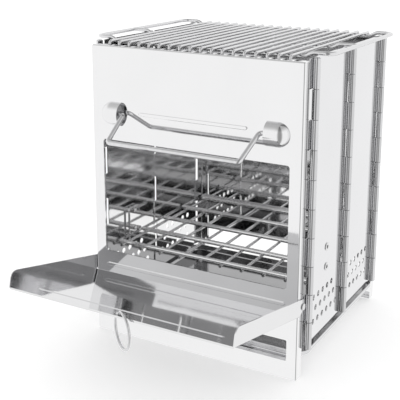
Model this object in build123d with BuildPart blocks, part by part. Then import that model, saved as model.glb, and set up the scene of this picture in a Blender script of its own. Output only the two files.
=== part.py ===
"""Camping wood stove of folded stainless sheet and wire, set up for use.

The frame: +Z up, X across the front, -Y towards the user.  The origin lies on
the ground, in the middle of the flat underside of the front plate's foot.
All lengths are millimetres.
"""

import math
import os

from build123d import *

# Overall size of the set-up stove, without door, bail and grill.
WIDTH = 232.8
HEIGHT = 308.4
DEPTH = 224.3
SHEET = 1.0

# Front and back plate: shallow pans whose flanges point inwards.
BEND_RADIUS = 2.0
FLANGE_DEPTH = 10.5
FOOT_DEPTH = 10.0
FOOT_TOP = 26.0

# The origin sits midway along the flat underside of the front foot.
FRONT_Y = -(BEND_RADIUS + FOOT_DEPTH) / 2
REAR_Y = FRONT_Y + DEPTH
MIDDLE_Y = (FRONT_Y + REAR_Y) / 2
SIDE_X = WIDTH / 2
FRONT_FACE = Plane.XZ.offset(-FRONT_Y)
REAR_FACE = Plane.XZ.offset(-REAR_Y)
MIDDLE_PLANE = Plane.XZ.offset(-MIDDLE_Y)

# Fire opening in the front plate.
FIRE_WIDTH = 207.4
FIRE_LOW = 92.0
FIRE_HIGH = 212.5
FIRE_CORNER = 3.0

# Air openings at the foot of both plates, each with a ledge bent inwards.
ASH_WIDTH = 210.0
ASH_LOW = 19.0
ASH_HIGH = 40.5
BACK_WIDTH = 210.0
BACK_HIGH = 46.0
AIR_CORNER = 1.5
LEDGE_DEPTH = 11.0
LEDGE_TOP = 19.0

# Tongues of the ledges, whose turned-up ends carry the ash tray.
TONGUE_X = 52.5
TONGUE_WIDTH = 20.0
TONGUE_LENGTH = 6.0
TONGUE_TOP = 21.5

# Stiffening beads pressed outwards in the front plate.
BEAD_HEIGHT = 3.6
BEAD_RISE = 1.2
BEAD_EDGE = 0.6
UPPER_BEAD_WIDTH = 119.7
UPPER_BEAD_Z = 242.5
LOWER_BEAD_WIDTH = 204.4
LOWER_BEAD_Z = 77.2

# Lugs on the back plate, under the last bar of the fire grate.
LUG_X = 73.0
LUG_WIDTH = 18.0
LUG_LENGTH = 7.0

# Upright piano hinges along both sides; they and the panels stand above the plates.
PANEL_RISE = 2.2
BARREL_RADIUS = 3.4
BARREL_INSET = 0.4
PIN_RADIUS = 2.45
PIN_CLEARANCE = 0.05
BORE_RADIUS = PIN_RADIUS + PIN_CLEARANCE
HINGE_LOW = 27.2
HINGE_HIGH = HEIGHT + PANEL_RISE
KNUCKLE_COUNT = 10
KNUCKLE_PITCH = (HINGE_HIGH - HINGE_LOW) / KNUCKLE_COUNT
KNUCKLE_GAP = 0.8
FRONT_HINGE_SETBACK = 18.6
REAR_HINGE_SETBACK = 16.6
HINGE_X = SIDE_X - BARREL_INSET + BARREL_RADIUS
FRONT_HINGE_Y = FRONT_Y + FRONT_HINGE_SETBACK
REAR_HINGE_Y = REAR_Y - REAR_HINGE_SETBACK
MIDDLE_HINGE_Y = (FRONT_HINGE_Y + REAR_HINGE_Y) / 2

# Side panels between the hinges.
PANEL_LOW = 27.5
BARREL_CLEARANCE = 0.6
PANEL_MARGIN = BARREL_RADIUS + BARREL_CLEARANCE
PANEL_TAB_LENGTH = 10.0
PANEL_TAB_SETBACK = 12.0
PANEL_TAB_LOW = 23.0

# Rows of air holes; a setback is the first hole's distance from the plate.
AIR_HOLE_RADIUS = 3.0
AIR_HOLE_PITCH = 11.8
AIR_ROW_HEIGHTS = (72.3, 60.0, 46.7)
AIR_ROW_SETBACKS = (37.0, 42.9, 37.0)
AIR_ROW_COUNTS = (5, 5, 6)

# Eyelet pegs riveted through the front panels.
PEG_SETBACK = 68.0
PEG_HEIGHTS = (114.7, 93.8)
PEG_RADIUS = 3.0
PEG_BORE = 1.9
PEG_HEAD_RADIUS = 4.3
PEG_HEAD_THICKNESS = 0.7
PEG_LENGTH = 3.2

# Ash tray with an upturned lip that clasps the foot of the stove.
TRAY_LENGTH = 203.5
TRAY_WIDTH = 238.8
TRAY_CORNER = 12.0
TRAY_RIM_TOP = 25.5
TRAY_FLOOR_Z = 13.0
TRAY_PAN_WIDTH = 222.0
TRAY_PAN_GAP = 2.15
TRAY_PAN_LENGTH = DEPTH - 2 * (LEDGE_DEPTH + TONGUE_LENGTH + TRAY_PAN_GAP)
TRAY_PAN_CORNER = 8.0
TRAY_FLOOR_EDGE = 2.5
LIP_EDGE = 0.4

# Door: a shallow pan that turns on two rivets and rests on the plate, open.
DOOR_TILT = 12.4
PIVOT_SETBACK = 7.5
PIVOT_Z = 75.0
DOOR_GAP = 0.3
DOOR_DROP = 8.3
DOOR_REAR = 6.16
DOOR_FRONT = 142.0
DOOR_FLANGE = 15.6
DOOR_CORNER = 8.0
DOOR_EAR = 4.0
DOOR_EAR_DROP = 1.0
DOOR_EAR_CORNER = 3.5
DOOR_BEND = 0.9
DOOR_BEAD_REACH = 122.0
DOOR_BEAD_WIDTH = 198.0
DOOR_BEAD_RISE = 0.6
HEM_WIDTH = 4.0
HEM_THICKNESS = 0.8

# Door rivets, fixed in the side flanges of the front plate.
RIVET_RADIUS = 2.0
RIVET_CLEARANCE = 0.05
RIVET_HEAD_RADIUS = 3.4
RIVET_TAIL_RADIUS = 3.0
RIVET_HEAD_HEIGHT = 1.3
RIVET_HEAD_GAP = 0.15
RIVET_HEAD_EDGE = 0.9

# Pull ring, threaded through a hole behind the door's front edge.
RING_RADIUS = 16.2
RING_WIRE = 1.3
RING_TURN = 34.0
RING_DEPTH = 12.9
RING_X = 6.9
RING_REACH = 139.4
RING_HOLE_X = -1.2
RING_HOLE_REACH = 133.9
RING_HOLE_RADIUS = 3.5

# Hooded cups on the front plate that carry the ends of the bail handle.
CUP_EDGE_GAP = 12.9
CUP_LENGTH = 23.0
CUP_OUTER = SIDE_X - CUP_EDGE_GAP
CUP_MOUTH = CUP_OUTER - CUP_LENGTH
CUP_Z = 240.2
CUP_HALF_HEIGHT = 12.0
CUP_RISE = 10.0
CUP_SHEET = 0.8
CUP_WEB_INSET = 3.0

# Bail handle of bent wire.
BAIL_WIRE = 2.4
BAIL_CLEARANCE = 0.05
BAIL_BEND = 4.0
BAIL_ARM_GAP = 5.5
BAIL_TAPER = 3.5
BAIL_TAIL = 7.5
BAIL_ARM_X = CUP_MOUTH - BAIL_ARM_GAP
BAIL_BAR_X = BAIL_ARM_X - BAIL_TAPER
BAIL_END_X = CUP_MOUTH + BAIL_TAIL
BAIL_ARM = 39.0
BAIL_DROOP = 32.0
BAIL_Z = 241.3
BAIL_STANDOFF = 5.0

# Cooking grill on top: a closed frame wire lies on the side panels and steps down
# between them, under the long wires welded across it.
GRILL_FRAME_WIRE = 2.0
GRILL_REST_GAP = 0.3
GRILL_OVERHANG = 13.6
GRILL_FRAME_BEND = 9.0
GRILL_FRONT_SETBACK = 29.0
GRILL_CROSS_SETBACK = 96.0
GRILL_REAR_MARGIN = 17.3
GRILL_STEP_INSET = 5.0
GRILL_STEP_RUN = 8.0
GRILL_WIRE = 1.5
GRILL_WIRE_RISE = 3.4
GRILL_COUNT = 18
GRILL_PITCH = 11.6
GRILL_BEND = 2.5
GRILL_END_SETBACK = 7.5
WELD_DEPTH = 0.3

# Fire grate: thick bars on thin wires, hung on the pegs by two hooks.
BAR_RADIUS = 2.5
BAR_Z = 87.0
BAR_HALF_LENGTH = 113.0
BAR_COUNT = 5
BAR_FRONT_SETBACK = 40.0
BAR_REAR_GAP = 4.3
BAR_PITCH = (DEPTH - BAR_FRONT_SETBACK - BAR_REAR_GAP) / (BAR_COUNT - 1)
GRATE_WIRE = 1.5
GRATE_COUNT = 10
GRATE_PITCH = 24.5
GRATE_FRONT_SETBACK = 37.0
GRATE_REAR_GAP = 1.3
REST_GAP = 0.3
HOOK_POST_SETBACK = 56.0
HOOK_END_SETBACK = 75.0
HOOK_END_LOW = 111.5
HOOK_WIRE = 1.1
HOOK_BEND = 2.5


def folded_pan():
    """Blank of the front plate: a pan open to the rear, with cut-back foot."""
    with BuildPart() as pan:
        with BuildSketch(FRONT_FACE):
            with Locations((0, HEIGHT / 2)):
                Rectangle(WIDTH, HEIGHT)
        extrude(amount=-FLANGE_DEPTH)
        rear = pan.faces().sort_by(Axis.Y)[-1]
        fillet(pan.edges() - rear.edges(), radius=BEND_RADIUS)
        offset(amount=-SHEET, openings=pan.faces().sort_by(Axis.Y)[-1])
        with BuildSketch(Plane.XZ.offset(-FRONT_Y - FOOT_DEPTH)):
            with Locations((0, FOOT_TOP / 2)):
                Rectangle(WIDTH, FOOT_TOP)
        extrude(amount=-FLANGE_DEPTH, mode=Mode.SUBTRACT)
    return pan.part


def knuckles(side, axis_y, sheet_y, first):
    """Every second barrel of a hinge, curled out of the sheet at sheet_y."""
    with BuildPart() as barrels:
        for index in range(first, KNUCKLE_COUNT, 2):
            low = HINGE_LOW + index * KNUCKLE_PITCH + KNUCKLE_GAP / 2
            with BuildSketch(Plane.XY.offset(low)):
                with Locations((side * HINGE_X, axis_y)):
                    Circle(BARREL_RADIUS)
                with Locations((side * (SIDE_X - SHEET / 2), (axis_y + sheet_y) / 2)):
                    Rectangle(SHEET, abs(axis_y - sheet_y))
                with Locations((side * HINGE_X, axis_y)):
                    Circle(BORE_RADIUS, mode=Mode.SUBTRACT)
            extrude(amount=KNUCKLE_PITCH - KNUCKLE_GAP)
    return barrels.part


def ledge_profile(direction, face_y):
    """Ledge that runs inwards at the foot of a plate, with two tray tongues."""
    with BuildPart() as ledge:
        with BuildSketch(Plane.XY.offset(LEDGE_TOP - SHEET)):
            with Locations((0, face_y + direction * (LEDGE_DEPTH + SHEET) / 2)):
                Rectangle(ASH_WIDTH, LEDGE_DEPTH - SHEET)
            tongue_y = face_y + direction * (LEDGE_DEPTH + TONGUE_LENGTH / 2)
            with Locations((-TONGUE_X, tongue_y), (TONGUE_X, tongue_y)):
                Rectangle(TONGUE_WIDTH, TONGUE_LENGTH)
        extrude(amount=SHEET)
        with BuildSketch(Plane.XY.offset(LEDGE_TOP)):
            end_y = face_y + direction * (LEDGE_DEPTH + TONGUE_LENGTH - SHEET / 2)
            with Locations((-TONGUE_X, end_y), (TONGUE_X, end_y)):
                Rectangle(TONGUE_WIDTH, SHEET)
        extrude(amount=TONGUE_TOP - LEDGE_TOP)
    return ledge.part


def side_panel(plate_y, axis_y, first_outer, first_middle):
    """Right-hand panel between the outer hinge of a plate and the middle hinge."""
    towards = math.copysign(1, axis_y - plate_y)
    outer_y = axis_y + towards * PANEL_MARGIN
    inner_y = MIDDLE_HINGE_Y - towards * PANEL_MARGIN
    tab_y = axis_y + towards * (PANEL_TAB_SETBACK + PANEL_TAB_LENGTH / 2)
    with BuildPart() as panel:
        with BuildSketch(Plane.YZ.offset(SIDE_X - SHEET)):
            with Locations(((outer_y + inner_y) / 2, (PANEL_LOW + HINGE_HIGH) / 2)):
                Rectangle(abs(inner_y - outer_y), HINGE_HIGH - PANEL_LOW)
            with Locations((tab_y, (PANEL_TAB_LOW + PANEL_LOW) / 2)):
                Rectangle(PANEL_TAB_LENGTH, PANEL_LOW - PANEL_TAB_LOW)
            rows = zip(AIR_ROW_HEIGHTS, AIR_ROW_SETBACKS, AIR_ROW_COUNTS)
            for height, setback, count in rows:
                for index in range(count):
                    distance = setback + index * AIR_HOLE_PITCH
                    with Locations((plate_y + towards * distance, height)):
                        Circle(AIR_HOLE_RADIUS, mode=Mode.SUBTRACT)
            if towards > 0:
                for height in PEG_HEIGHTS:
                    with Locations((FRONT_Y + PEG_SETBACK, height)):
                        Circle(PEG_RADIUS, mode=Mode.SUBTRACT)
        extrude(amount=SHEET)
        add(knuckles(1, axis_y, outer_y, first_outer))
        add(knuckles(1, MIDDLE_HINGE_Y, inner_y, first_middle))
    return panel.part


def hinge_pin(side, axis_y):
    """Straight pin through all the barrels of one hinge."""
    with BuildPart() as pin:
        with BuildSketch(Plane.XY.offset(HINGE_LOW)):
            with Locations((side * HINGE_X, axis_y)):
                Circle(PIN_RADIUS)
        extrude(amount=HINGE_HIGH - HINGE_LOW)
    return pin.part


# Front plate: fire opening, ash opening, two beads, holes for the door rivets.
with BuildPart() as front_plate:
    add(folded_pan())
    with BuildSketch(FRONT_FACE):
        with Locations((0, (FIRE_LOW + FIRE_HIGH) / 2)):
            RectangleRounded(FIRE_WIDTH, FIRE_HIGH - FIRE_LOW, FIRE_CORNER)
        with Locations((0, (ASH_LOW + ASH_HIGH) / 2)):
            RectangleRounded(ASH_WIDTH, ASH_HIGH - ASH_LOW, AIR_CORNER)
    extrude(amount=-SHEET, mode=Mode.SUBTRACT)
    with BuildSketch(FRONT_FACE):
        with Locations((0, UPPER_BEAD_Z)):
            SlotOverall(UPPER_BEAD_WIDTH, BEAD_HEIGHT)
        with Locations((0, LOWER_BEAD_Z)):
            SlotOverall(LOWER_BEAD_WIDTH, BEAD_HEIGHT)
    extrude(amount=BEAD_RISE)
    fillet(front_plate.faces().filter_by(Axis.Y).sort_by(Axis.Y)[:2].edges(), BEAD_EDGE)
    with BuildSketch(Plane.XZ.offset(-FRONT_Y - SHEET)):
        with Locations((0, UPPER_BEAD_Z)):
            SlotOverall(UPPER_BEAD_WIDTH - 2 * SHEET, BEAD_HEIGHT - 2 * SHEET)
        with Locations((0, LOWER_BEAD_Z)):
            SlotOverall(LOWER_BEAD_WIDTH - 2 * SHEET, BEAD_HEIGHT - 2 * SHEET)
    extrude(amount=BEAD_RISE, mode=Mode.SUBTRACT)
    with BuildSketch(Plane.YZ.offset(-SIDE_X)):
        with Locations((FRONT_Y + PIVOT_SETBACK, PIVOT_Z)):
            Circle(RIVET_RADIUS)
    extrude(amount=WIDTH, mode=Mode.SUBTRACT)
front_plate.part.label = "front_plate"

# Ledge under the ash opening, with the tongues for the tray.
with BuildPart() as front_ledge:
    add(ledge_profile(1, FRONT_Y))
front_ledge.part.label = "front_ledge"

# Hinge barrels of the front plate, on both sides.
with BuildPart() as front_barrels:
    for side in (-1, 1):
        add(knuckles(side, FRONT_HINGE_Y, FRONT_Y + FLANGE_DEPTH, 1))
front_barrels.part.label = "front_barrels"

# Back plate: the same pan with a single air opening at its foot.
with BuildPart() as back_plate:
    mirror(folded_pan(), about=MIDDLE_PLANE)
    with BuildSketch(REAR_FACE):
        with Locations((0, (ASH_LOW + BACK_HIGH) / 2)):
            RectangleRounded(BACK_WIDTH, BACK_HIGH - ASH_LOW, AIR_CORNER)
    extrude(amount=SHEET, mode=Mode.SUBTRACT)
back_plate.part.label = "back_plate"

# Ledge under the back plate's air opening, with the tongues for the tray.
with BuildPart() as back_ledge:
    add(ledge_profile(-1, REAR_Y))
back_ledge.part.label = "back_ledge"

# Lugs on the back plate, under the last bar of the fire grate.
with BuildPart() as grate_lugs:
    with BuildSketch(Plane.XY.offset(BAR_Z - BAR_RADIUS - REST_GAP - SHEET)):
        lug_y = REAR_Y - SHEET - LUG_LENGTH / 2
        with Locations((-LUG_X, lug_y), (LUG_X, lug_y)):
            Rectangle(LUG_WIDTH, LUG_LENGTH)
    extrude(amount=SHEET)
grate_lugs.part.label = "grate_lugs"

# Hinge barrels of the back plate, on both sides.
with BuildPart() as back_barrels:
    for side in (-1, 1):
        add(knuckles(side, REAR_HINGE_Y, REAR_Y - FLANGE_DEPTH, 0))
back_barrels.part.label = "back_barrels"

# Side panels: a front and a rear leaf on each side, joined by a middle hinge.
with BuildPart() as right_front_panel:
    add(side_panel(FRONT_Y, FRONT_HINGE_Y, 0, 1))
right_front_panel.part.label = "right_front_panel"

with BuildPart() as right_rear_panel:
    add(side_panel(REAR_Y, REAR_HINGE_Y, 1, 0))
right_rear_panel.part.label = "right_rear_panel"

with BuildPart() as left_front_panel:
    mirror(right_front_panel.part, about=Plane.YZ)
left_front_panel.part.label = "left_front_panel"

with BuildPart() as left_rear_panel:
    mirror(right_rear_panel.part, about=Plane.YZ)
left_rear_panel.part.label = "left_rear_panel"

# Hinge pins, three on each side.
with BuildPart() as right_front_pin:
    add(hinge_pin(1, FRONT_HINGE_Y))
right_front_pin.part.label = "right_front_pin"

with BuildPart() as right_middle_pin:
    add(hinge_pin(1, MIDDLE_HINGE_Y))
right_middle_pin.part.label = "right_middle_pin"

with BuildPart() as right_rear_pin:
    add(hinge_pin(1, REAR_HINGE_Y))
right_rear_pin.part.label = "right_rear_pin"

with BuildPart() as left_front_pin:
    add(hinge_pin(-1, FRONT_HINGE_Y))
left_front_pin.part.label = "left_front_pin"

with BuildPart() as left_middle_pin:
    add(hinge_pin(-1, MIDDLE_HINGE_Y))
left_middle_pin.part.label = "left_middle_pin"

with BuildPart() as left_rear_pin:
    add(hinge_pin(-1, REAR_HINGE_Y))
left_rear_pin.part.label = "left_rear_pin"

# Eyelet pegs: a head outside the panel, a hollow shank that ends inside it.
with BuildPart() as right_pegs:
    for height in PEG_HEIGHTS:
        with BuildSketch(Plane.YZ.offset(SIDE_X)):
            with Locations((FRONT_Y + PEG_SETBACK, height)):
                Circle(PEG_HEAD_RADIUS)
        extrude(amount=PEG_HEAD_THICKNESS)
        with BuildSketch(Plane.YZ.offset(SIDE_X)):
            with Locations((FRONT_Y + PEG_SETBACK, height)):
                Circle(PEG_RADIUS)
        extrude(amount=-(SHEET + PEG_LENGTH))
        with BuildSketch(Plane.YZ.offset(SIDE_X + PEG_HEAD_THICKNESS)):
            with Locations((FRONT_Y + PEG_SETBACK, height)):
                Circle(PEG_BORE)
        extrude(amount=-(SHEET + PEG_LENGTH + PEG_HEAD_THICKNESS), mode=Mode.SUBTRACT)
right_pegs.part.label = "right_pegs"

with BuildPart() as left_pegs:
    mirror(right_pegs.part, about=Plane.YZ)
left_pegs.part.label = "left_pegs"

# Ash tray: shallow pan, flat flange and upturned lip around it.
with BuildPart() as ash_tray:
    with BuildSketch(Plane.XY.offset(TRAY_FLOOR_Z)):
        with Locations((0, MIDDLE_Y)):
            RectangleRounded(TRAY_PAN_WIDTH, TRAY_PAN_LENGTH, TRAY_PAN_CORNER)
    extrude(amount=TONGUE_TOP - TRAY_FLOOR_Z)
    fillet(ash_tray.faces().sort_by(Axis.Z)[0].edges(), TRAY_FLOOR_EDGE)
    with BuildSketch(Plane.XY.offset(TONGUE_TOP)):
        with Locations((0, MIDDLE_Y)):
            RectangleRounded(TRAY_WIDTH, TRAY_LENGTH, TRAY_CORNER)
    extrude(amount=TRAY_RIM_TOP - TONGUE_TOP)
    with BuildSketch(Plane.XY.offset(TONGUE_TOP + SHEET)):
        with Locations((0, MIDDLE_Y)):
            RectangleRounded(
                TRAY_WIDTH - 2 * SHEET, TRAY_LENGTH - 2 * SHEET, TRAY_CORNER - SHEET
            )
    extrude(amount=TRAY_RIM_TOP - TONGUE_TOP, mode=Mode.SUBTRACT)
    with BuildSketch(Plane.XY.offset(TRAY_FLOOR_Z + SHEET)):
        with Locations((0, MIDDLE_Y)):
            RectangleRounded(
                TRAY_PAN_WIDTH - 2 * SHEET,
                TRAY_PAN_LENGTH - 2 * SHEET,
                TRAY_PAN_CORNER - SHEET,
            )
    extrude(amount=TONGUE_TOP - TRAY_FLOOR_Z, mode=Mode.SUBTRACT)
    fillet(ash_tray.faces().sort_by(Axis.Z)[-1].edges(), LIP_EDGE)
ash_tray.part.label = "ash_tray"

# The door plane is drawn for the open door: local X runs across it, local -Y
# along it to the front edge, and its origin lies on the axis of the rivets.
TILT = math.radians(DOOR_TILT)
DOOR_PLANE = Plane(
    origin=(0, FRONT_Y + PIVOT_SETBACK, PIVOT_Z),
    x_dir=(1, 0, 0),
    z_dir=(0, math.sin(TILT), math.cos(TILT)),
)
DOOR_OUTWARD = -DOOR_PLANE.y_dir
DOOR_SIDE = Plane(origin=DOOR_PLANE.origin, x_dir=DOOR_OUTWARD, z_dir=(-1, 0, 0))
DOOR_INNER_X = SIDE_X + DOOR_GAP
DOOR_UNDERSIDE = -DOOR_DROP - SHEET

# Door: floor with a bead and a hemmed edge, and two ears on the rivets.
with BuildPart() as door:
    with BuildSketch(DOOR_PLANE.offset(DOOR_UNDERSIDE)):
        with Locations((0, -(DOOR_FRONT + DOOR_REAR) / 2)):
            Rectangle(2 * (DOOR_INNER_X + SHEET), DOOR_FRONT - DOOR_REAR)
    extrude(amount=SHEET)
    for side in (-1, 1):
        with BuildSketch(DOOR_SIDE.offset(-side * DOOR_INNER_X)):
            with BuildLine():
                Polyline(
                    (-DOOR_EAR, -DOOR_EAR_DROP),
                    (-DOOR_EAR, DOOR_FLANGE - DOOR_DROP),
                    (DOOR_FRONT, DOOR_FLANGE - DOOR_DROP),
                    (DOOR_FRONT, DOOR_UNDERSIDE),
                    (DOOR_REAR, DOOR_UNDERSIDE),
                    close=True,
                )
            make_face()
            fillet(vertices().group_by(Axis.X)[0].sort_by(Axis.Y)[-1], DOOR_EAR_CORNER)
            fillet(vertices().group_by(Axis.X)[-1].sort_by(Axis.Y)[-1], DOOR_CORNER)
            Circle(RIVET_RADIUS + RIVET_CLEARANCE, mode=Mode.SUBTRACT)
        extrude(amount=-side * SHEET)
    along_door = door.edges().filter_by(Axis(DOOR_PLANE.origin, DOOR_PLANE.y_dir))
    lowest = along_door.sort_by(Axis(DOOR_PLANE.origin, DOOR_PLANE.z_dir))[:2]
    fillet(lowest, DOOR_BEND)
    with BuildSketch(DOOR_PLANE.offset(DOOR_UNDERSIDE)):
        with Locations((0, -DOOR_FRONT + HEM_WIDTH / 2)):
            Rectangle(2 * DOOR_INNER_X, HEM_WIDTH)
    extrude(amount=-HEM_THICKNESS)
    with BuildSketch(DOOR_PLANE.offset(-DOOR_DROP)):
        with Locations((0, -DOOR_BEAD_REACH)):
            SlotOverall(DOOR_BEAD_WIDTH, BEAD_HEIGHT)
    extrude(amount=DOOR_BEAD_RISE)
    with BuildSketch(DOOR_PLANE.offset(DOOR_UNDERSIDE)):
        with Locations((0, -DOOR_BEAD_REACH)):
            SlotOverall(DOOR_BEAD_WIDTH - 2 * SHEET, BEAD_HEIGHT - 2 * SHEET)
    extrude(amount=DOOR_BEAD_RISE, mode=Mode.SUBTRACT)
    with BuildSketch(DOOR_PLANE.offset(-DOOR_DROP)):
        with Locations((RING_HOLE_X, -RING_HOLE_REACH)):
            Circle(RING_HOLE_RADIUS)
    extrude(amount=-SHEET - HEM_THICKNESS, mode=Mode.SUBTRACT)
door.part.label = "door"

# Door rivets: shank in the plate's flange, heads on both sides of the joint.
RIVET_HEAD_X = DOOR_INNER_X + SHEET + RIVET_HEAD_GAP
with BuildPart() as right_rivet:
    with BuildSketch(Plane.YZ.offset(SIDE_X - SHEET - RIVET_HEAD_HEIGHT)):
        with Locations((FRONT_Y + PIVOT_SETBACK, PIVOT_Z)):
            Circle(RIVET_TAIL_RADIUS)
    extrude(amount=RIVET_HEAD_HEIGHT)
    with BuildSketch(Plane.YZ.offset(SIDE_X - SHEET)):
        with Locations((FRONT_Y + PIVOT_SETBACK, PIVOT_Z)):
            Circle(RIVET_RADIUS)
    extrude(amount=RIVET_HEAD_X - SIDE_X + SHEET)
    with BuildSketch(Plane.YZ.offset(RIVET_HEAD_X)):
        with Locations((FRONT_Y + PIVOT_SETBACK, PIVOT_Z)):
            Circle(RIVET_HEAD_RADIUS)
    extrude(amount=RIVET_HEAD_HEIGHT)
    fillet(right_rivet.faces().sort_by(Axis.X)[-1].edges(), RIVET_HEAD_EDGE)
right_rivet.part.label = "right_rivet"

with BuildPart() as left_rivet:
    mirror(right_rivet.part, about=Plane.YZ)
left_rivet.part.label = "left_rivet"

# Pull ring: hangs with its plane turned off the door's length, through the
# hole on one side of the hemmed strip and past the front edge on the other.
RING_CHORD = (
    DOOR_PLANE.x_dir * math.cos(math.radians(RING_TURN))
    + DOOR_OUTWARD * math.sin(math.radians(RING_TURN))
)
RING_PIVOT = (
    DOOR_PLANE.origin
    + DOOR_PLANE.x_dir * RING_X
    + DOOR_OUTWARD * RING_REACH
    + DOOR_PLANE.z_dir * (DOOR_UNDERSIDE + SHEET / 2)
)
DOWN = Vector(0, 0, -1)
RING_HANG = (DOWN - RING_CHORD * DOWN.dot(RING_CHORD)).normalized()
RING_PLANE = Plane(
    origin=RING_PIVOT + RING_HANG * RING_DEPTH,
    x_dir=RING_CHORD,
    z_dir=RING_CHORD.cross(RING_HANG),
)
with BuildPart(RING_PLANE) as pull_ring:
    Torus(RING_RADIUS, RING_WIRE)
pull_ring.part.label = "pull_ring"

# Handle cup: half a capsule of sheet with an inner web that carries the wire.
CUP_SPHERE = (CUP_HALF_HEIGHT**2 + CUP_RISE**2) / (2 * CUP_RISE)
CUP_AXIS_Y = FRONT_Y - CUP_RISE + CUP_SPHERE
CUP_CENTRE_X = CUP_OUTER - CUP_HALF_HEIGHT
with BuildPart() as right_cup:
    with BuildSketch(Plane.YZ.offset(CUP_MOUTH)):
        with Locations((CUP_AXIS_Y, CUP_Z)):
            Circle(CUP_SPHERE)
    extrude(amount=CUP_CENTRE_X - CUP_MOUTH)
    with Locations((CUP_CENTRE_X, CUP_AXIS_Y, CUP_Z)):
        Sphere(CUP_SPHERE)
        Sphere(CUP_SPHERE - CUP_SHEET, mode=Mode.SUBTRACT)
    with BuildSketch(Plane.YZ.offset(CUP_MOUTH - CUP_SPHERE)):
        with Locations((CUP_AXIS_Y, CUP_Z)):
            Circle(CUP_SPHERE + CUP_SHEET)
    extrude(amount=CUP_SPHERE, mode=Mode.SUBTRACT)
    with BuildSketch(Plane.YZ.offset(CUP_MOUTH)):
        with Locations((CUP_AXIS_Y, CUP_Z)):
            Circle(CUP_SPHERE - CUP_SHEET)
    extrude(amount=CUP_CENTRE_X - CUP_MOUTH, mode=Mode.SUBTRACT)
    with BuildSketch(Plane.YZ.offset(CUP_MOUTH + CUP_WEB_INSET)):
        with Locations((CUP_AXIS_Y, CUP_Z)):
            Circle(CUP_SPHERE - CUP_SHEET)
        with Locations((FRONT_Y - BAIL_STANDOFF, BAIL_Z)):
            Circle(BAIL_WIRE + BAIL_CLEARANCE, mode=Mode.SUBTRACT)
    extrude(amount=SHEET)
    split(bisect_by=FRONT_FACE, keep=Keep.TOP)
right_cup.part.label = "right_cup"

with BuildPart() as left_cup:
    mirror(right_cup.part, about=Plane.YZ)
left_cup.part.label = "left_cup"

# Bail handle: wire bow with its ends turned outwards into the cups.
DROOP = math.radians(BAIL_DROOP)
BAIL_PLANE = Plane(
    origin=(0, FRONT_Y - BAIL_STANDOFF, BAIL_Z),
    x_dir=(1, 0, 0),
    z_dir=(0, math.sin(DROOP), -math.cos(DROOP)),
)
with BuildPart() as bail_handle:
    with BuildLine(BAIL_PLANE):
        FilletPolyline(
            (-BAIL_END_X, 0),
            (-BAIL_ARM_X, 0),
            (-BAIL_BAR_X, BAIL_ARM),
            (BAIL_BAR_X, BAIL_ARM),
            (BAIL_ARM_X, 0),
            (BAIL_END_X, 0),
            radius=BAIL_BEND,
        )
    with BuildSketch(Plane.YZ.offset(-BAIL_END_X)):
        with Locations((FRONT_Y - BAIL_STANDOFF, BAIL_Z)):
            Circle(BAIL_WIRE)
    sweep()
bail_handle.part.label = "bail_handle"

# Grill frame: closed wire loop over the side panels, stepped down between them.
GRILL_FRAME_Z = HINGE_HIGH + GRILL_REST_GAP + GRILL_FRAME_WIRE
GRILL_FRAME_X = SIDE_X + GRILL_OVERHANG
GRILL_STEP_X = SIDE_X - GRILL_STEP_INSET
GRILL_RUN_X = GRILL_STEP_X - GRILL_STEP_RUN
GRILL_WIRE_Z = HEIGHT + GRILL_WIRE_RISE
GRILL_RUN_Z = GRILL_WIRE_Z - GRILL_WIRE - GRILL_FRAME_WIRE + WELD_DEPTH
FRAME_FRONT_Y = FRONT_Y + GRILL_FRONT_SETBACK
FRAME_CROSS_Y = FRONT_Y + GRILL_CROSS_SETBACK
FRAME_REAR_Y = REAR_Y - GRILL_REAR_MARGIN


def stepped_run(half_length, run_y):
    """Points of a run across the stove that dips between the side panels."""
    return [
        (-half_length, run_y, GRILL_FRAME_Z),
        (-GRILL_STEP_X, run_y, GRILL_FRAME_Z),
        (-GRILL_RUN_X, run_y, GRILL_RUN_Z),
        (GRILL_RUN_X, run_y, GRILL_RUN_Z),
        (GRILL_STEP_X, run_y, GRILL_FRAME_Z),
        (half_length, run_y, GRILL_FRAME_Z),
    ]


with BuildPart() as grill_frame:
    with BuildLine():
        front_side = FilletPolyline(
            (GRILL_FRAME_X, FRAME_CROSS_Y, GRILL_FRAME_Z),
            *reversed(stepped_run(GRILL_FRAME_X, FRAME_FRONT_Y)),
            (-GRILL_FRAME_X, FRAME_CROSS_Y, GRILL_FRAME_Z),
            radius=GRILL_FRAME_BEND,
        )
        FilletPolyline(
            (-GRILL_FRAME_X, FRAME_CROSS_Y, GRILL_FRAME_Z),
            *stepped_run(GRILL_FRAME_X, FRAME_REAR_Y),
            (GRILL_FRAME_X, FRAME_CROSS_Y, GRILL_FRAME_Z),
            radius=GRILL_FRAME_BEND,
        )
    with BuildSketch(Plane(origin=front_side @ 0, z_dir=front_side % 0)):
        Circle(GRILL_FRAME_WIRE)
    sweep()
grill_frame.part.label = "grill_frame"

# Grill cross wire: welded between the two sides of the frame, stepped down alike.
with BuildPart() as grill_cross_wire:
    cross_half = GRILL_FRAME_X - GRILL_FRAME_WIRE + WELD_DEPTH
    with BuildLine():
        FilletPolyline(*stepped_run(cross_half, FRAME_CROSS_Y), radius=GRILL_FRAME_BEND)
    with BuildSketch(Plane.YZ.offset(-cross_half)):
        with Locations((FRAME_CROSS_Y, GRILL_FRAME_Z)):
            Circle(GRILL_FRAME_WIRE)
    sweep()
grill_cross_wire.part.label = "grill_cross_wire"

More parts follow.
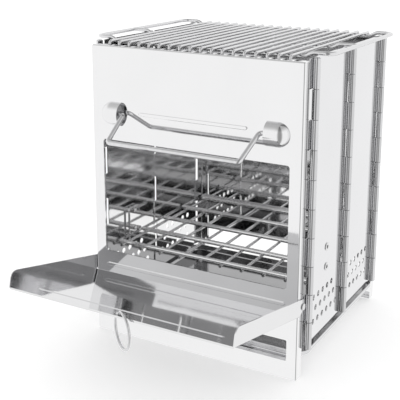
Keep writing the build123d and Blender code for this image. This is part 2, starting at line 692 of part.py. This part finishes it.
# Grill wires: welded across the frame, ends turned down over both plates.
GRILL_LOW = HEIGHT + GRILL_REST_GAP
GRILL_FRONT_Y = FRONT_Y + GRILL_END_SETBACK
GRILL_REAR_Y = REAR_Y - GRILL_END_SETBACK
with BuildPart() as grill_wires:
    for index in range(GRILL_COUNT):
        wire_x = (index - (GRILL_COUNT - 1) / 2) * GRILL_PITCH
        with BuildLine(Plane.YZ.offset(wire_x)):
            FilletPolyline(
                (GRILL_FRONT_Y, GRILL_LOW),
                (GRILL_FRONT_Y, GRILL_WIRE_Z),
                (GRILL_REAR_Y, GRILL_WIRE_Z),
                (GRILL_REAR_Y, GRILL_LOW),
                radius=GRILL_BEND,
            )
        with BuildSketch(Plane.XY.offset(GRILL_LOW)):
            with Locations((wire_x, GRILL_FRONT_Y)):
                Circle(GRILL_WIRE)
        sweep()
grill_wires.part.label = "grill_wires"

# Fire grate: bars from side to side.
with BuildPart() as grate_bars:
    with BuildSketch(Plane.YZ.offset(-BAR_HALF_LENGTH)):
        for index in range(BAR_COUNT):
            with Locations((FRONT_Y + BAR_FRONT_SETBACK + index * BAR_PITCH, BAR_Z)):
                Circle(BAR_RADIUS)
    extrude(amount=2 * BAR_HALF_LENGTH)
grate_bars.part.label = "grate_bars"

# Fire grate: thin wires from front to back, welded under the bars.
GRATE_WIRE_Z = BAR_Z - BAR_RADIUS - GRATE_WIRE + WELD_DEPTH
GRATE_FRONT_Y = FRONT_Y + GRATE_FRONT_SETBACK
GRATE_REAR_Y = REAR_Y - SHEET - GRATE_REAR_GAP
with BuildPart() as grate_wires:
    with BuildSketch(Plane.XZ.offset(-GRATE_FRONT_Y)):
        for index in range(GRATE_COUNT):
            with Locations(((index - (GRATE_COUNT - 1) / 2) * GRATE_PITCH, GRATE_WIRE_Z)):
                Circle(GRATE_WIRE)
    extrude(amount=GRATE_FRONT_Y - GRATE_REAR_Y)
grate_wires.part.label = "grate_wires"

# Fire grate: wire hooks, welded beside the outer wires, over the upper pegs.
HOOK_X = (GRATE_COUNT - 1) / 2 * GRATE_PITCH + GRATE_WIRE + HOOK_WIRE - WELD_DEPTH
HOOK_LOW = GRATE_WIRE_Z - GRATE_WIRE
HOOK_HIGH = PEG_HEIGHTS[0] + PEG_RADIUS + REST_GAP + HOOK_WIRE
with BuildPart() as grate_hooks:
    for hook_x in (-HOOK_X, HOOK_X):
        with BuildLine(Plane.YZ.offset(hook_x)):
            FilletPolyline(
                (FRONT_Y + HOOK_POST_SETBACK, HOOK_LOW),
                (FRONT_Y + HOOK_POST_SETBACK, HOOK_HIGH),
                (FRONT_Y + HOOK_END_SETBACK, HOOK_HIGH),
                (FRONT_Y + HOOK_END_SETBACK, HOOK_END_LOW),
                radius=HOOK_BEND,
            )
        with BuildSketch(Plane.XY.offset(HOOK_LOW)):
            with Locations((hook_x, FRONT_Y + HOOK_POST_SETBACK)):
                Circle(HOOK_WIRE)
        sweep()
grate_hooks.part.label = "grate_hooks"

os.makedirs("parts", exist_ok=True)
export_step(front_plate.part, "parts/front_plate.step")
export_step(front_ledge.part, "parts/front_ledge.step")
export_step(front_barrels.part, "parts/front_barrels.step")
export_step(back_plate.part, "parts/back_plate.step")
export_step(back_ledge.part, "parts/back_ledge.step")
export_step(grate_lugs.part, "parts/grate_lugs.step")
export_step(back_barrels.part, "parts/back_barrels.step")
export_step(right_front_panel.part, "parts/right_front_panel.step")
export_step(right_rear_panel.part, "parts/right_rear_panel.step")
export_step(left_front_panel.part, "parts/left_front_panel.step")
export_step(left_rear_panel.part, "parts/left_rear_panel.step")
export_step(right_front_pin.part, "parts/right_front_pin.step")
export_step(right_middle_pin.part, "parts/right_middle_pin.step")
export_step(right_rear_pin.part, "parts/right_rear_pin.step")
export_step(left_front_pin.part, "parts/left_front_pin.step")
export_step(left_middle_pin.part, "parts/left_middle_pin.step")
export_step(left_rear_pin.part, "parts/left_rear_pin.step")
export_step(right_pegs.part, "parts/right_pegs.step")
export_step(left_pegs.part, "parts/left_pegs.step")
export_step(ash_tray.part, "parts/ash_tray.step")
export_step(door.part, "parts/door.step")
export_step(right_rivet.part, "parts/right_rivet.step")
export_step(left_rivet.part, "parts/left_rivet.step")
export_step(pull_ring.part, "parts/pull_ring.step")
export_step(right_cup.part, "parts/right_cup.step")
export_step(left_cup.part, "parts/left_cup.step")
export_step(bail_handle.part, "parts/bail_handle.step")
export_step(grill_frame.part, "parts/grill_frame.step")
export_step(grill_cross_wire.part, "parts/grill_cross_wire.step")
export_step(grill_wires.part, "parts/grill_wires.step")
export_step(grate_bars.part, "parts/grate_bars.step")
export_step(grate_wires.part, "parts/grate_wires.step")
export_step(grate_hooks.part, "parts/grate_hooks.step")
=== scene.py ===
import math

import bpy
from mathutils import Matrix, Vector

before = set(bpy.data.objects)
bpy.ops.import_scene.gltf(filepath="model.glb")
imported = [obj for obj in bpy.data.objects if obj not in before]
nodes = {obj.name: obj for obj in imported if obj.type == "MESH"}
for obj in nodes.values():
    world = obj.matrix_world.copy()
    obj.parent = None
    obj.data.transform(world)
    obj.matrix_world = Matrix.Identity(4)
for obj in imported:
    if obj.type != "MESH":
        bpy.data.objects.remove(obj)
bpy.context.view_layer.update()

# Front plate
# Folded pan of mirror-polished stainless sheet, about 1 mm thick. The rolled sheet is
# faintly wavy; its inner side has a tone of its own, painted light and shade for how the
# hollow of the stove is lit.
PLATE_OUTSIDE = (0.9, 0.9, 0.905)
# The inner tone is painted light: lighter than the outside, for the hollow of the stove.
PLATE_INSIDE = (0.94, 0.94, 0.945)
PLATE_ROUGHNESS = 0.04
# The barrels' darker tone is painted shade.
BARREL_SHADED_TONE = (0.72, 0.72, 0.73)
BARREL_ROUGHNESS = 0.14
BARREL_WAVE = 0.05
SHEET_WAVE = 0.25
HEARTH = (0.0, 0.106, 0.15)  # middle of the fire, in metres
INNER_FACE_FROM = 0.03  # how far a face turns to the hearth before it takes the painted inner tone
CLOUD_SCALE = 14.0
CLOUD_DETAIL = 4.0
CLOUD_OUTSIDE = 0.94
CLOUD_INSIDE = 0.85
ROLLING_SCALE = (900.0, 900.0, 12.0)
ROLLING_DETAIL = 2.0
ROLLING_LOW = 0.3
ROLLING_HIGH = 0.7
ROLLING_GRAIN = 0.03
CURLED_BEYOND = 0.1168  # metres from the middle, just outside the panels
SWELL_SCALE = 9.0
SWELL_DETAIL = 1.0
SWELL_DEPTH = 0.002  # metres


def feed(tree, socket, value):
    """Sets a socket to a plain value, or links another node's output to it."""
    if isinstance(value, bpy.types.NodeSocket):
        tree.links.new(value, socket)
    else:
        socket.default_value = value


def arithmetic(tree, operation, *values):
    """Works on numbers; returns the result's socket."""
    node = tree.nodes.new("ShaderNodeMath")
    node.operation = operation
    for socket, value in zip(node.inputs, values):
        feed(tree, socket, value)
    return node.outputs[0]


def on_vectors(tree, operation, *values):
    """Works on vectors; returns the result's socket, a number for a dot product."""
    node = tree.nodes.new("ShaderNodeVectorMath")
    node.operation = operation
    for socket, value in zip(node.inputs, values):
        feed(tree, socket, value)
    return node.outputs["Value" if operation == "DOT_PRODUCT" else "Vector"]


def noise(tree, place, scale, detail):
    """Uneven pattern over a place."""
    node = tree.nodes.new("ShaderNodeTexNoise")
    node.inputs["Scale"].default_value = scale
    node.inputs["Detail"].default_value = detail
    tree.links.new(place, node.inputs["Vector"])
    return node.outputs["Fac"]


def stretched_noise(tree, place, scale, detail):
    """Uneven pattern with its own scale along each of the three axes."""
    node = tree.nodes.new("ShaderNodeMapping")
    node.inputs["Scale"].default_value = scale
    tree.links.new(place, node.inputs["Vector"])
    return noise(tree, node.outputs["Vector"], 1.0, detail)


def blend(tree, share, first, second, kind="MIX"):
    """Blends the second colour into the first one."""
    node = tree.nodes.new("ShaderNodeMix")
    node.data_type = "RGBA"
    node.blend_type = kind
    feed(tree, node.inputs["Factor"], share)
    feed(tree, node.inputs["A"], first)
    feed(tree, node.inputs["B"], second)
    return node.outputs["Result"]


def spread(tree, value, low, high, start=0.0, end=1.0, interpolation="LINEAR"):
    """Maps a value that runs from start to end onto low to high."""
    node = tree.nodes.new("ShaderNodeMapRange")
    node.interpolation_type = interpolation
    node.inputs["From Min"].default_value = start
    node.inputs["From Max"].default_value = end
    node.inputs["To Min"].default_value = low
    node.inputs["To Max"].default_value = high
    tree.links.new(value, node.inputs["Value"])
    return node.outputs["Result"]


def colour(tone, share=1.0):
    """A tone, darkened to a share of itself, as a socket's four numbers."""
    return (*[share * part for part in tone], 1)


def bare_steel(name):
    """New metal finish: the material, its nodes and its shader."""
    steel = bpy.data.materials.new(name)
    steel.use_nodes = True
    body = steel.node_tree.nodes["Principled BSDF"]
    body.inputs["Metallic"].default_value = 1.0
    return steel, steel.node_tree, body


def polished_sheet(name, outside, inside, roughness, wave=SHEET_WAVE, curled=1.0):
    """Stainless sheet with painted light and shade on the faces that turn to the hearth,
    and painted shade where it is curled into barrels.
    """
    steel, tree, body = bare_steel(name)
    coordinates = tree.nodes.new("ShaderNodeTexCoord")
    place = coordinates.outputs["Object"]

    # A face that turns to the hearth takes the inner tone: painted light and shade for the
    # hollow of the stove.
    inward = on_vectors(tree, "SUBTRACT", HEARTH, place)
    facing = on_vectors(tree, "DOT_PRODUCT", inward, coordinates.outputs["Normal"])
    inner_painted_light = arithmetic(tree, "GREATER_THAN", facing, INNER_FACE_FROM)

    # Broad cloudy patches from handling, on either side of the sheet.
    cloud = noise(tree, place, CLOUD_SCALE, CLOUD_DETAIL)
    outer_tone = blend(tree, cloud, colour(outside, CLOUD_OUTSIDE), colour(outside))
    inner_painted_tone = blend(tree, cloud, colour(inside, CLOUD_INSIDE), colour(inside))
    tone = blend(tree, inner_painted_light, outer_tone, inner_painted_tone)

    # The hinge barrels stand outside the sheet; their tone is darkened there as painted
    # shade.
    parted = tree.nodes.new("ShaderNodeSeparateXYZ")
    tree.links.new(place, parted.inputs[0])
    aside = arithmetic(tree, "ABSOLUTE", parted.outputs["X"])
    beyond = arithmetic(tree, "GREATER_THAN", aside, CURLED_BEYOND)
    barrel_shaded_tone = blend(tree, beyond, tone, (curled, curled, curled, 1), "MULTIPLY")
    feed(tree, body.inputs["Base Color"], barrel_shaded_tone)

    # Long rolling marks, seen in the gloss.
    rolling = stretched_noise(tree, place, ROLLING_SCALE, ROLLING_DETAIL)
    gloss = spread(
        tree, rolling, roughness, roughness + ROLLING_GRAIN, ROLLING_LOW, ROLLING_HIGH
    )
    feed(tree, body.inputs["Roughness"], gloss)

    # The sheet's own waviness bends what it mirrors.
    bend = tree.nodes.new("ShaderNodeBump")
    bend.inputs["Strength"].default_value = wave
    bend.inputs["Distance"].default_value = SWELL_DEPTH
    feed(tree, bend.inputs["Height"], noise(tree, place, SWELL_SCALE, SWELL_DETAIL))
    feed(tree, body.inputs["Normal"], bend.outputs["Normal"])
    return steel


def dress(material, *names):
    """Gives every material slot of these pieces the same finish."""
    for name in names:
        piece = nodes[name]
        if not piece.material_slots:
            piece.data.materials.append(material)
        for held in piece.material_slots:
            held.material = material


plate_steel = polished_sheet("plate_steel", PLATE_OUTSIDE, PLATE_INSIDE, PLATE_ROUGHNESS)
barrel_steel = polished_sheet(
    "barrel_steel", BARREL_SHADED_TONE, BARREL_SHADED_TONE, BARREL_ROUGHNESS, BARREL_WAVE
)
dress(plate_steel, "front_plate", "front_ledge")
dress(barrel_steel, "front_barrels")

# Back plate
# The same folded pan of polished sheet without a fire opening, seen from inside
# through the front one, with two bent lugs that carry the fire grate.
dress(plate_steel, "back_plate", "back_ledge", "grate_lugs")
dress(barrel_steel, "back_barrels")

# Side panels
# Two leaves a side of the same sheet, pierced with three rows of air holes, their
# edges curled into barrels that hang on the plates and on each other.
PANEL_OUTSIDE = (0.83, 0.83, 0.84)
# The inner tone is painted light: lighter than the outside, for the hollow of the stove.
PANEL_INSIDE = (0.93, 0.93, 0.935)
PANEL_ROUGHNESS = 0.05
PANEL_WAVE = 0.15
# Painted shade: the panels' tone is darkened by this share on their barrels.
PANEL_BARREL_SHADE = 0.78
panel_steel = polished_sheet(
    "panel_steel", PANEL_OUTSIDE, PANEL_INSIDE, PANEL_ROUGHNESS, PANEL_WAVE, PANEL_BARREL_SHADE
)
for side in ("right", "left"):
    dress(panel_steel, f"{side}_front_panel", f"{side}_rear_panel")

# Hinge pins
# Drawn stainless wire through the barrels of each of the six hinges, cut flush
# with them and left dull.
PIN_TONE = (0.5, 0.5, 0.51)
PIN_ROUGHNESS = 0.3
PIN_MARKS = (1.0, 1.0, 0.05)
WIRE_MARKS = (1.0, 1.0, 1.0)
WIRE_SCALE = 420.0
WIRE_DETAIL = 3.0
WIRE_SHADE = 0.78
WIRE_GRAIN = 0.14


def drawn_wire(name, tone, roughness, marks=WIRE_MARKS):
    """Drawn stainless wire: fine marks, slightly uneven in tone and gloss."""
    steel, tree, body = bare_steel(name)
    place = tree.nodes.new("ShaderNodeTexCoord").outputs["Object"]
    scale = [WIRE_SCALE * mark for mark in marks]
    drawn = stretched_noise(tree, place, scale, WIRE_DETAIL)
    shade = blend(tree, drawn, colour(tone, WIRE_SHADE), colour(tone))
    feed(tree, body.inputs["Base Color"], shade)
    gloss = spread(tree, drawn, roughness, roughness + WIRE_GRAIN)
    feed(tree, body.inputs["Roughness"], gloss)
    return steel


pin_steel = drawn_wire("pin_steel", PIN_TONE, PIN_ROUGHNESS, PIN_MARKS)
for side in ("right", "left"):
    dress(pin_steel, f"{side}_front_pin", f"{side}_middle_pin", f"{side}_rear_pin")

# Pegs
# Hollow stainless eyelets that carry the fire grate's hooks, rolled over outside
# the front panels.
RIVET_TONE = (0.88, 0.88, 0.885)
RIVET_ROUGHNESS = 0.2
rivet_steel = drawn_wire("rivet_steel", RIVET_TONE, RIVET_ROUGHNESS)
dress(rivet_steel, "right_pegs", "left_pegs")

# Ash tray
# Pressed shallow pan of stainless sheet whose lip stands up around the foot of the side
# panels; its inside is painted dark, painted shade for the deep gap under the ledge.
TRAY_OUTSIDE = (0.72, 0.72, 0.73)
TRAY_INSIDE_SHADE = (0.38, 0.38, 0.385)
TRAY_ROUGHNESS = 0.1
tray_steel = polished_sheet("tray_steel", TRAY_OUTSIDE, TRAY_INSIDE_SHADE, TRAY_ROUGHNESS)
dress(tray_steel, "ash_tray")

# Door
# Folded pan of polished sheet with one long pressed bead, hemmed in front and
# turning on two rivets in the front plate.
DOOR_OUTSIDE = (0.82, 0.82, 0.825)
# The inner tone is painted light and shade for the hollow of the stove.
DOOR_INSIDE = (0.8, 0.8, 0.81)
DOOR_ROUGHNESS = 0.05
door_steel = polished_sheet("door_steel", DOOR_OUTSIDE, DOOR_INSIDE, DOOR_ROUGHNESS)
dress(door_steel, "door")
dress(rivet_steel, "right_rivet", "left_rivet")

# Pull ring
# Round polished wire closed into a ring, hung through a hole behind the door's
# front edge.
RING_TONE = (0.78, 0.78, 0.79)
RING_ROUGHNESS = 0.06
ring_steel = drawn_wire("ring_steel", RING_TONE, RING_ROUGHNESS)
dress(ring_steel, "pull_ring")

# Handle cups
# Hoods pressed from stainless sheet and welded to the front plate, open towards
# its middle.
CUP_OUTSIDE = (0.88, 0.88, 0.885)
# The inner tone is painted shade: darker than the outside, inside the hoods.
CUP_INSIDE = (0.75, 0.75, 0.76)
CUP_ROUGHNESS = 0.12
cup_steel = polished_sheet("cup_steel", CUP_OUTSIDE, CUP_INSIDE, CUP_ROUGHNESS)
dress(cup_steel, "right_cup", "left_cup")

# Bail handle
# Bow of polished round stainless wire, its two ends sprung into the cups, in
# which it turns.
BAIL_TONE = (0.84, 0.84, 0.85)
BAIL_ROUGHNESS = 0.04
bail_steel = drawn_wire("bail_steel", BAIL_TONE, BAIL_ROUGHNESS)
dress(bail_steel, "bail_handle")

# Fire grate
# Thick round bars over thin stainless wires, spot-welded at each crossing, hung on
# the pegs by two hooks.
GRATE_TONE = (0.93, 0.93, 0.935)
GRATE_ROUGHNESS = 0.1
grate_steel = drawn_wire("grate_steel", GRATE_TONE, GRATE_ROUGHNESS)
dress(grate_steel, "grate_bars", "grate_wires", "grate_hooks")

# Cooking grill
# Long stainless wires welded across a closed frame wire, their ends turned down
# over the plates. It lies loose on the side panels.
GRILL_TONE = (0.84, 0.84, 0.85)
GRILL_ROUGHNESS = 0.08
grill_steel = drawn_wire("grill_steel", GRILL_TONE, GRILL_ROUGHNESS)
dress(grill_steel, "grill_frame", "grill_cross_wire", "grill_wires")

# Studio floor
# Pale matt board under the stove. It takes the soft shadow, and a faint glow of its
# own, for the eye alone, brings it close to the white behind it.
FLOOR_REACH = 6.0
FLOOR_TONE = (0.8, 0.8, 0.8)
FLOOR_ROUGHNESS = 0.9
FLOOR_GLOW = 0.35
WHITE = (1, 1, 1, 1)
floor_mesh = bpy.data.meshes.new("studio_floor")
floor_mesh.from_pydata(
    [
        (-FLOOR_REACH, -FLOOR_REACH, 0),
        (FLOOR_REACH, -FLOOR_REACH, 0),
        (FLOOR_REACH, FLOOR_REACH, 0),
        (-FLOOR_REACH, FLOOR_REACH, 0),
    ],
    [],
    [(0, 1, 2, 3)],
)
studio_floor = bpy.data.objects.new("studio_floor", floor_mesh)
bpy.context.collection.objects.link(studio_floor)
studio_floor.visible_glossy = False

floor_paint = bpy.data.materials.new("floor_paint")
floor_paint.use_nodes = True
tree = floor_paint.node_tree
board = tree.nodes["Principled BSDF"]
board.inputs["Base Color"].default_value = colour(FLOOR_TONE)
board.inputs["Roughness"].default_value = FLOOR_ROUGHNESS
board.inputs["Specular IOR Level"].default_value = 0.0
ray = tree.nodes.new("ShaderNodeLightPath").outputs
seen = arithmetic(tree, "MAXIMUM", ray["Is Camera Ray"], ray["Is Glossy Ray"])
seen = arithmetic(tree, "MAXIMUM", seen, ray["Is Transmission Ray"])
glow = tree.nodes.new("ShaderNodeEmission")
glow.inputs["Color"].default_value = WHITE
feed(tree, glow.inputs["Strength"], arithmetic(tree, "MULTIPLY", seen, FLOOR_GLOW))
both = tree.nodes.new("ShaderNodeAddShader")
feed(tree, both.inputs[0], board.outputs[0])
feed(tree, both.inputs[1], glow.outputs[0])
feed(tree, tree.nodes["Material Output"].inputs["Surface"], both.outputs[0])
floor_mesh.materials.append(floor_paint)

# Studio light
# White walls lit evenly from all round. The polished steel also mirrors a soft dark
# upright band, the camera's stand, and a greyer ceiling.
SKY_STRENGTH = 1.0
STAND_HEADING = (0.484, -0.875, 0)
STAND_EDGE = 0.88
STAND_HEART = 0.995
STAND_TONE = 0.34
CEILING_EDGE = 0.45
CEILING_HEART = 0.95
CEILING_TONE = 0.5
world = bpy.data.worlds.new("studio")
bpy.context.scene.world = world
world.use_nodes = True
tree = world.node_tree
sky = tree.nodes["Background"]
sky.inputs["Strength"].default_value = SKY_STRENGTH
around = tree.nodes.new("ShaderNodeTexCoord").outputs["Generated"]
level = on_vectors(tree, "MULTIPLY", around, (1, 1, 0))
heading = on_vectors(tree, "NORMALIZE", level)
towards = on_vectors(tree, "DOT_PRODUCT", heading, STAND_HEADING)
stand = spread(tree, towards, 1.0, STAND_TONE, STAND_EDGE, STAND_HEART, "SMOOTHSTEP")
height = tree.nodes.new("ShaderNodeSeparateXYZ")
tree.links.new(around, height.inputs[0])
ceiling = spread(
    tree, height.outputs["Z"], 1.0, CEILING_TONE, CEILING_EDGE, CEILING_HEART, "SMOOTHSTEP"
)
mirrored = arithmetic(tree, "MULTIPLY", stand, ceiling)
ray = tree.nodes.new("ShaderNodeLightPath").outputs
feed(tree, sky.inputs["Color"], blend(tree, ray["Is Glossy Ray"], WHITE, mirrored))

# Camera
# Stands in front of the stove, to its right and a little above it, where the
# photograph was taken from. Lengths are in metres and the lens in millimetres.
SENSOR_WIDTH = 36.0
LENS = 76.9
SHIFT_ACROSS = -0.0327
SHIFT_UP = -0.188
AZIMUTH = math.radians(28.93)
ELEVATION = math.radians(13.02)
ROLL = math.radians(0.31)
CAMERA_PLACE = (0.40382, -0.6932, 0.42324)
camera_data = bpy.data.cameras.new("photo_camera")
camera_data.sensor_width = SENSOR_WIDTH
camera_data.lens = LENS
camera_data.shift_x = SHIFT_ACROSS
camera_data.shift_y = SHIFT_UP
camera = bpy.data.objects.new("photo_camera", camera_data)
bpy.context.collection.objects.link(camera)
back = Vector(
    (
        math.sin(AZIMUTH) * math.cos(ELEVATION),
        -math.cos(AZIMUTH) * math.cos(ELEVATION),
        math.sin(ELEVATION),
    )
)
level_right = Vector((math.cos(AZIMUTH), math.sin(AZIMUTH), 0))
level_up = back.cross(level_right)
right = level_right * math.cos(ROLL) + level_up * math.sin(ROLL)
up = back.cross(right)
turn = Matrix((right, up, back)).transposed().to_4x4()
camera.matrix_world = Matrix.Translation(CAMERA_PLACE) @ turn
bpy.context.scene.camera = camera
bpy.context.scene.view_settings.view_transform = "Standard"
